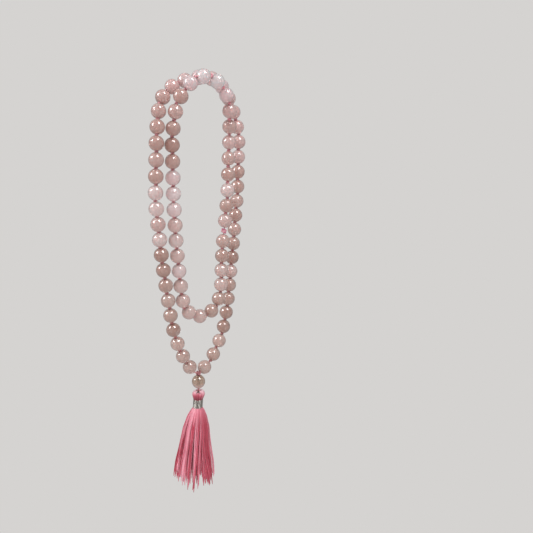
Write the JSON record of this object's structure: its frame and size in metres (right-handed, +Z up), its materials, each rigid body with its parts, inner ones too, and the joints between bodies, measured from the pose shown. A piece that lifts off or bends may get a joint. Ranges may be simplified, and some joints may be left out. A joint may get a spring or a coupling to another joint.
{
  "type": "prayer beads",
  "caption": "Rose quartz prayer beads on knotted cord, hung as a long and a short loop over one support, with a guru bead and a silk tassel bound with metallic thread.",
  "frame": {"origin": "on the support that the beads hang over, between the front and the back arc, at the height of the arcs' undersides", "axes": "+Z up; X across the loops, with the joining knot on the +X side; the support runs along Y and the front arc is on the -Y side"},
  "size_m": [0.0655, 0.024, 0.2399],
  "materials": {
    "rose_quartz": "polished",
    "cord": "satin",
    "tassel_thread": "satin",
    "metallic_thread": "satin"
  },
  "bodies": {
    "short_top": {"short_top_cord": "cord"},
    "long_top": {"long_top_cord": "cord"},
    "short_tier_1": {"short_cord_1": "cord"},
    "short_tier_2": {"short_cord_2": "cord", "joining_knot": "cord"},
    "short_tier_3": {"short_cord_3": "cord"},
    "short_bottom": {"short_bottom_cord": "cord"},
    "long_tier_1": {"long_cord_1": "cord"},
    "long_tier_2": {"long_cord_2": "cord"},
    "long_tier_3": {"long_cord_3": "cord"},
    "long_v": {"v_cord": "cord"},
    "tassel_loop": {"tassel_loop": "cord"},
    "tassel_knot": {"tassel_knot": "cord"},
    "tassel": {"tassel_head": "tassel_thread", "tassel_band": "metallic_thread", "tassel_skirt": "tassel_thread"},
    "guru_bead": {"guru_bead": "rose_quartz"},
    "short_top_beads_1": {"short_top_beads_1": "rose_quartz"},
    "short_top_beads_2": {"short_top_beads_2": "rose_quartz"},
    "short_top_beads_3": {"short_top_beads_3": "rose_quartz"},
    "short_top_beads_4": {"short_top_beads_4": "rose_quartz"},
    "short_top_beads_5": {"short_top_beads_5": "rose_quartz"},
    "short_top_beads_6": {"short_top_beads_6": "rose_quartz"},
    "short_top_beads_7": {"short_top_beads_7": "rose_quartz"},
    "long_top_beads_1": {"long_top_beads_1": "rose_quartz"},
    "long_top_beads_2": {"long_top_beads_2": "rose_quartz"},
    "long_top_beads_3": {"long_top_beads_3": "rose_quartz"},
    "long_top_beads_4": {"long_top_beads_4": "rose_quartz"},
    "long_top_beads_5": {"long_top_beads_5": "rose_quartz"},
    "long_top_beads_6": {"long_top_beads_6": "rose_quartz"},
    "long_top_beads_7": {"long_top_beads_7": "rose_quartz"},
    "long_top_beads_8": {"long_top_beads_8": "rose_quartz"},
    "long_top_beads_9": {"long_top_beads_9": "rose_quartz"},
    "short_left_beads_1": {"short_left_beads_1": "rose_quartz"},
    "short_right_beads_1": {"short_right_beads_1": "rose_quartz"},
    "short_left_beads_2": {"short_left_beads_2": "rose_quartz"},
    "short_right_beads_2": {"short_right_beads_2": "rose_quartz"},
    "short_left_beads_3": {"short_left_beads_3": "rose_quartz"},
    "short_right_beads_3": {"short_right_beads_3": "rose_quartz"},
    "short_bottom_bead_1": {"short_bottom_bead_1": "rose_quartz"},
    "short_bottom_bead_2": {"short_bottom_bead_2": "rose_quartz"},
    "short_bottom_bead_3": {"short_bottom_bead_3": "rose_quartz"},
    "short_bottom_bead_4": {"short_bottom_bead_4": "rose_quartz"},
    "short_bottom_bead_5": {"short_bottom_bead_5": "rose_quartz"},
    "long_left_beads_1": {"long_left_beads_1": "rose_quartz"},
    "long_right_beads_1": {"long_right_beads_1": "rose_quartz"},
    "long_left_beads_2": {"long_left_beads_2": "rose_quartz"},
    "long_right_beads_2": {"long_right_beads_2": "rose_quartz"},
    "long_left_beads_3": {"long_left_beads_3": "rose_quartz"},
    "long_right_beads_3": {"long_right_beads_3": "rose_quartz"},
    "v_left_bead_1": {"v_left_bead_1": "rose_quartz"},
    "v_left_bead_2": {"v_left_bead_2": "rose_quartz"},
    "v_left_bead_3": {"v_left_bead_3": "rose_quartz"},
    "v_left_bead_4": {"v_left_bead_4": "rose_quartz"},
    "v_right_bead_1": {"v_right_bead_1": "rose_quartz"},
    "v_right_bead_2": {"v_right_bead_2": "rose_quartz"},
    "v_right_bead_3": {"v_right_bead_3": "rose_quartz"},
    "v_right_bead_4": {"v_right_bead_4": "rose_quartz"},
    "v_right_bead_5": {"v_right_bead_5": "rose_quartz"}
  },
  "joints": [
    {"name": "long_loop_slide", "type": "slide", "parent": "short_top", "child": "long_top", "axis": [0, 1, 0], "range_m": [0, 0.02]},
    {"name": "short_tier_1_swing", "type": "hinge", "parent": "short_top", "child": "short_tier_1", "pos_m": [-0.02, -0.0015, -0.027], "axis": [0.9867, 0.1579, 0.0395], "range_deg": [-30, 30]},
    {"name": "short_tier_2_swing", "type": "hinge", "parent": "short_tier_1", "child": "short_tier_2", "pos_m": [-0.02, -0.0015, -0.061], "axis": [0.9874, 0.158, 0], "range_deg": [-25, 25]},
    {"name": "short_tier_3_swing", "type": "hinge", "parent": "short_tier_2", "child": "short_tier_3", "pos_m": [-0.019, -0.00134, -0.086], "axis": [0.9812, 0.157, -0.1126], "range_deg": [-25, 25]},
    {"name": "short_bottom_swing", "type": "hinge", "parent": "short_tier_3", "child": "short_bottom", "pos_m": [-0.0165, -0.00094, -0.1115], "axis": [0.9813, 0.157, -0.1111], "range_deg": [-25, 25]},
    {"name": "long_tier_1_swing", "type": "hinge", "parent": "long_top", "child": "long_tier_1", "pos_m": [-0.0285, -0.0015, -0.026], "axis": [0.9741, 0.2261, 0.0087], "range_deg": [-25, 25]},
    {"name": "long_tier_2_swing", "type": "hinge", "parent": "long_tier_1", "child": "long_tier_2", "pos_m": [-0.0305, -0.00196, -0.06], "axis": [0.9741, 0.2261, 0.0086], "range_deg": [-20, 20]},
    {"name": "long_tier_3_swing", "type": "hinge", "parent": "long_tier_2", "child": "long_tier_3", "pos_m": [-0.0275, -0.00127, -0.093], "axis": [0.974, 0.2261, 0.0098], "range_deg": [-20, 20]},
    {"name": "long_v_swing", "type": "hinge", "parent": "long_tier_3", "child": "long_v", "pos_m": [-0.0225, -0.00011, -0.1275], "axis": [0.9723, 0.2257, 0.0608], "range_deg": [-20, 20]},
    {"name": "tassel_swing", "type": "hinge", "parent": "long_v", "child": "tassel_loop", "pos_m": [-0.005, 0.00396, -0.1711], "axis": [0.9741, 0.2261, 0], "range_deg": [-35, 35]},
    {"name": "tassel_sway", "type": "hinge", "parent": "tassel_loop", "child": "tassel_knot", "pos_m": [-0.005, 0.00396, -0.1728], "axis": [-0.2261, 0.9741, 0], "range_deg": [-25, 25]},
    {"name": "tassel_turn", "type": "hinge", "parent": "tassel_knot", "child": "tassel", "pos_m": [-0.005, 0.00396, -0.1756], "axis": [0, 0, 1], "continuous": true},
    {"name": "guru_turn", "type": "hinge", "parent": "long_v", "child": "guru_bead", "pos_m": [-0.005, 0.00396, -0.1665], "axis": [0, 0, 1], "continuous": true},
    {"name": "short_top_beads_1_turn", "type": "hinge", "parent": "short_top", "child": "short_top_beads_1", "pos_m": [-0.01875, -0.00225, -0.0185], "axis": [0.1449, -0.087, 0.9856], "continuous": true},
    {"name": "short_top_beads_2_turn", "type": "hinge", "parent": "short_top", "child": "short_top_beads_2", "pos_m": [-0.01525, -0.0035, -0.0065], "axis": [0.5369, -0.1193, 0.8352], "continuous": true},
    {"name": "short_top_beads_3_turn", "type": "hinge", "parent": "short_top", "child": "short_top_beads_3", "pos_m": [-0.01, -0.00425, 0.00025], "axis": [0.6772, -0.0564, 0.7336], "continuous": true},
    {"name": "short_top_beads_4_turn", "type": "hinge", "parent": "short_top", "child": "short_top_beads_4", "pos_m": [-0.0025, -0.0045, 0.004], "axis": [0.9939, 0, 0.1104], "continuous": true},
    {"name": "short_top_beads_5_turn", "type": "hinge", "parent": "short_top", "child": "short_top_beads_5", "pos_m": [0.00575, -0.00425, 0.00175], "axis": [0.8052, 0.0537, -0.5905], "continuous": true},
    {"name": "short_top_beads_6_turn", "type": "hinge", "parent": "short_top", "child": "short_top_beads_6", "pos_m": [0.01175, -0.00325, -0.005], "axis": [0.4838, 0.1613, -0.8602], "continuous": true},
    {"name": "short_top_beads_7_turn", "type": "hinge", "parent": "short_top", "child": "short_top_beads_7", "pos_m": [0.01575, 0.001, -0.01725], "axis": [0.1917, 0.3833, -0.9035], "continuous": true},
    {"name": "long_top_beads_1_turn", "type": "hinge", "parent": "long_top", "child": "long_top_beads_1", "pos_m": [-0.02675, 0.00025, -0.018], "axis": [0.209, 0.209, 0.9553], "continuous": true},
    {"name": "long_top_beads_2_turn", "type": "hinge", "parent": "long_top", "child": "long_top_beads_2", "pos_m": [-0.0225, 0.003, -0.00675], "axis": [0.5923, 0.2369, 0.7701], "continuous": true},
    {"name": "long_top_beads_3_turn", "type": "hinge", "parent": "long_top", "child": "long_top_beads_3", "pos_m": [-0.0165, 0.00425, -0.00125], "axis": [0.8397, 0.06, 0.5398], "continuous": true},
    {"name": "long_top_beads_4_turn", "type": "hinge", "parent": "long_top", "child": "long_top_beads_4", "pos_m": [-0.009, 0.0045, 0.00225], "axis": [0.9545, 0, 0.2983], "continuous": true},
    {"name": "long_top_beads_5_turn", "type": "hinge", "parent": "long_top", "child": "long_top_beads_5", "pos_m": [-0.00075, 0.00475, 0.00425], "axis": [0.9831, 0.0578, 0.1735], "continuous": true},
    {"name": "long_top_beads_6_turn", "type": "hinge", "parent": "long_top", "child": "long_top_beads_6", "pos_m": [0.0075, 0.0055, 0.004], "axis": [0.9631, 0.1204, -0.2408], "continuous": true},
    {"name": "long_top_beads_7_turn", "type": "hinge", "parent": "long_top", "child": "long_top_beads_7", "pos_m": [0.0145, 0.00725, 0.00025], "axis": [0.7047, 0.2936, -0.6459], "continuous": true},
    {"name": "long_top_beads_8_turn", "type": "hinge", "parent": "long_top", "child": "long_top_beads_8", "pos_m": [0.02, 0.0095, -0.00575], "axis": [0.5923, 0.2369, -0.7701], "continuous": true},
    {"name": "long_top_beads_9_turn", "type": "hinge", "parent": "long_top", "child": "long_top_beads_9", "pos_m": [0.025, 0.011, -0.01725], "axis": [0.2895, 0.0579, -0.9554], "continuous": true},
    {"name": "short_left_beads_1_turn", "type": "hinge", "parent": "short_tier_1", "child": "short_left_beads_1", "pos_m": [-0.02, -0.0015, -0.044], "axis": [0, 0, -1], "continuous": true},
    {"name": "short_right_beads_1_turn", "type": "hinge", "parent": "short_tier_1", "child": "short_right_beads_1", "pos_m": [0.0165, 0.00434, -0.04325], "axis": [-0.0562, -0.009, -0.9984], "continuous": true},
    {"name": "short_left_beads_2_turn", "type": "hinge", "parent": "short_tier_2", "child": "short_left_beads_2", "pos_m": [-0.0195, -0.00142, -0.0735], "axis": [0.04, 0.0064, -0.9992], "continuous": true},
    {"name": "short_right_beads_2_turn", "type": "hinge", "parent": "short_tier_2", "child": "short_right_beads_2", "pos_m": [0.0135, 0.00386, -0.07525], "axis": [-0.139, -0.0222, -0.99], "continuous": true},
    {"name": "short_left_beads_3_turn", "type": "hinge", "parent": "short_tier_3", "child": "short_left_beads_3", "pos_m": [-0.01775, -0.00114, -0.09875], "axis": [0.0976, 0.0156, -0.9951], "continuous": true},
    {"name": "short_right_beads_3_turn", "type": "hinge", "parent": "short_tier_3", "child": "short_right_beads_3", "pos_m": [0.01075, 0.00342, -0.102], "axis": [-0.0599, -0.0096, -0.9982], "continuous": true},
    {"name": "short_bottom_bead_1_turn", "type": "hinge", "parent": "short_bottom", "child": "short_bottom_bead_1", "pos_m": [-0.01575, -0.00082, -0.11575], "axis": [0.1737, 0.0278, -0.9844], "continuous": true},
    {"name": "short_bottom_bead_2_turn", "type": "hinge", "parent": "short_bottom", "child": "short_bottom_bead_2", "pos_m": [-0.012, -0.00022, -0.123], "axis": [0.7026, 0.1124, -0.7026], "continuous": true},
    {"name": "short_bottom_bead_3_turn", "type": "hinge", "parent": "short_bottom", "child": "short_bottom_bead_3", "pos_m": [-0.00475, 0.00094, -0.1265], "axis": [0.9808, 0.1569, -0.1154], "continuous": true},
    {"name": "short_bottom_bead_4_turn", "type": "hinge", "parent": "short_bottom", "child": "short_bottom_bead_4", "pos_m": [0.00325, 0.00222, -0.12475], "axis": [0.8495, 0.1359, 0.5097], "continuous": true},
    {"name": "short_bottom_bead_5_turn", "type": "hinge", "parent": "short_bottom", "child": "short_bottom_bead_5", "pos_m": [0.0085, 0.00306, -0.1185], "axis": [0.3506, 0.0561, 0.9349], "continuous": true},
    {"name": "long_left_beads_1_turn", "type": "hinge", "parent": "long_tier_1", "child": "long_left_beads_1", "pos_m": [-0.0295, -0.00173, -0.043], "axis": [-0.0587, -0.0136, -0.9982], "continuous": true},
    {"name": "long_right_beads_1_turn", "type": "hinge", "parent": "long_tier_1", "child": "long_right_beads_1", "pos_m": [0.02675, 0.01133, -0.0425], "axis": [-0.0441, -0.0102, -0.999], "continuous": true},
    {"name": "long_left_beads_2_turn", "type": "hinge", "parent": "long_tier_2", "child": "long_left_beads_2", "pos_m": [-0.029, -0.00162, -0.0765], "axis": [0.0905, 0.021, -0.9957], "continuous": true},
    {"name": "long_right_beads_2_turn", "type": "hinge", "parent": "long_tier_2", "child": "long_right_beads_2", "pos_m": [0.024, 0.01069, -0.076], "axis": [-0.1203, -0.0279, -0.9923], "continuous": true},
    {"name": "long_left_beads_3_turn", "type": "hinge", "parent": "long_tier_3", "child": "long_left_beads_3", "pos_m": [-0.025, -0.00069, -0.11025], "axis": [0.1434, 0.0333, -0.9891], "continuous": true},
    {"name": "long_right_beads_3_turn", "type": "hinge", "parent": "long_tier_3", "child": "long_right_beads_3", "pos_m": [0.01975, 0.0097, -0.10875], "axis": [-0.1371, -0.0318, -0.99], "continuous": true},
    {"name": "v_left_bead_1_turn", "type": "hinge", "parent": "long_v", "child": "v_left_bead_1", "pos_m": [-0.0215, 0.00013, -0.13175], "axis": [0.2287, 0.0531, -0.972], "continuous": true},
    {"name": "v_left_bead_2_turn", "type": "hinge", "parent": "long_v", "child": "v_left_bead_2", "pos_m": [-0.019, 0.00071, -0.14025], "axis": [0.3318, 0.077, -0.9402], "continuous": true},
    {"name": "v_left_bead_3_turn", "type": "hinge", "parent": "long_v", "child": "v_left_bead_3", "pos_m": [-0.0155, 0.00152, -0.1485], "axis": [0.4448, 0.1033, -0.8896], "continuous": true},
    {"name": "v_left_bead_4_turn", "type": "hinge", "parent": "long_v", "child": "v_left_bead_4", "pos_m": [-0.011, 0.00256, -0.156], "axis": [0.576, 0.1337, -0.8064], "continuous": true},
    {"name": "v_right_bead_1_turn", "type": "hinge", "parent": "long_v", "child": "v_right_bead_1", "pos_m": [0.0165, 0.00895, -0.129], "axis": [-0.2422, -0.0562, -0.9686], "continuous": true},
    {"name": "v_right_bead_2_turn", "type": "hinge", "parent": "long_v", "child": "v_right_bead_2", "pos_m": [0.01425, 0.00842, -0.13725], "axis": [-0.2816, -0.0654, -0.9573], "continuous": true},
    {"name": "v_right_bead_3_turn", "type": "hinge", "parent": "long_v", "child": "v_right_bead_3", "pos_m": [0.01075, 0.00761, -0.14525], "axis": [-0.5109, -0.1186, -0.8514], "continuous": true},
    {"name": "v_right_bead_4_turn", "type": "hinge", "parent": "long_v", "child": "v_right_bead_4", "pos_m": [0.00625, 0.00657, -0.1525], "axis": [-0.5365, -0.1246, -0.8346], "continuous": true},
    {"name": "v_right_bead_5_turn", "type": "hinge", "parent": "long_v", "child": "v_right_bead_5", "pos_m": [-0.0005, 0.005, -0.15875], "axis": [-0.837, -0.1943, -0.5115], "continuous": true}
  ]
}
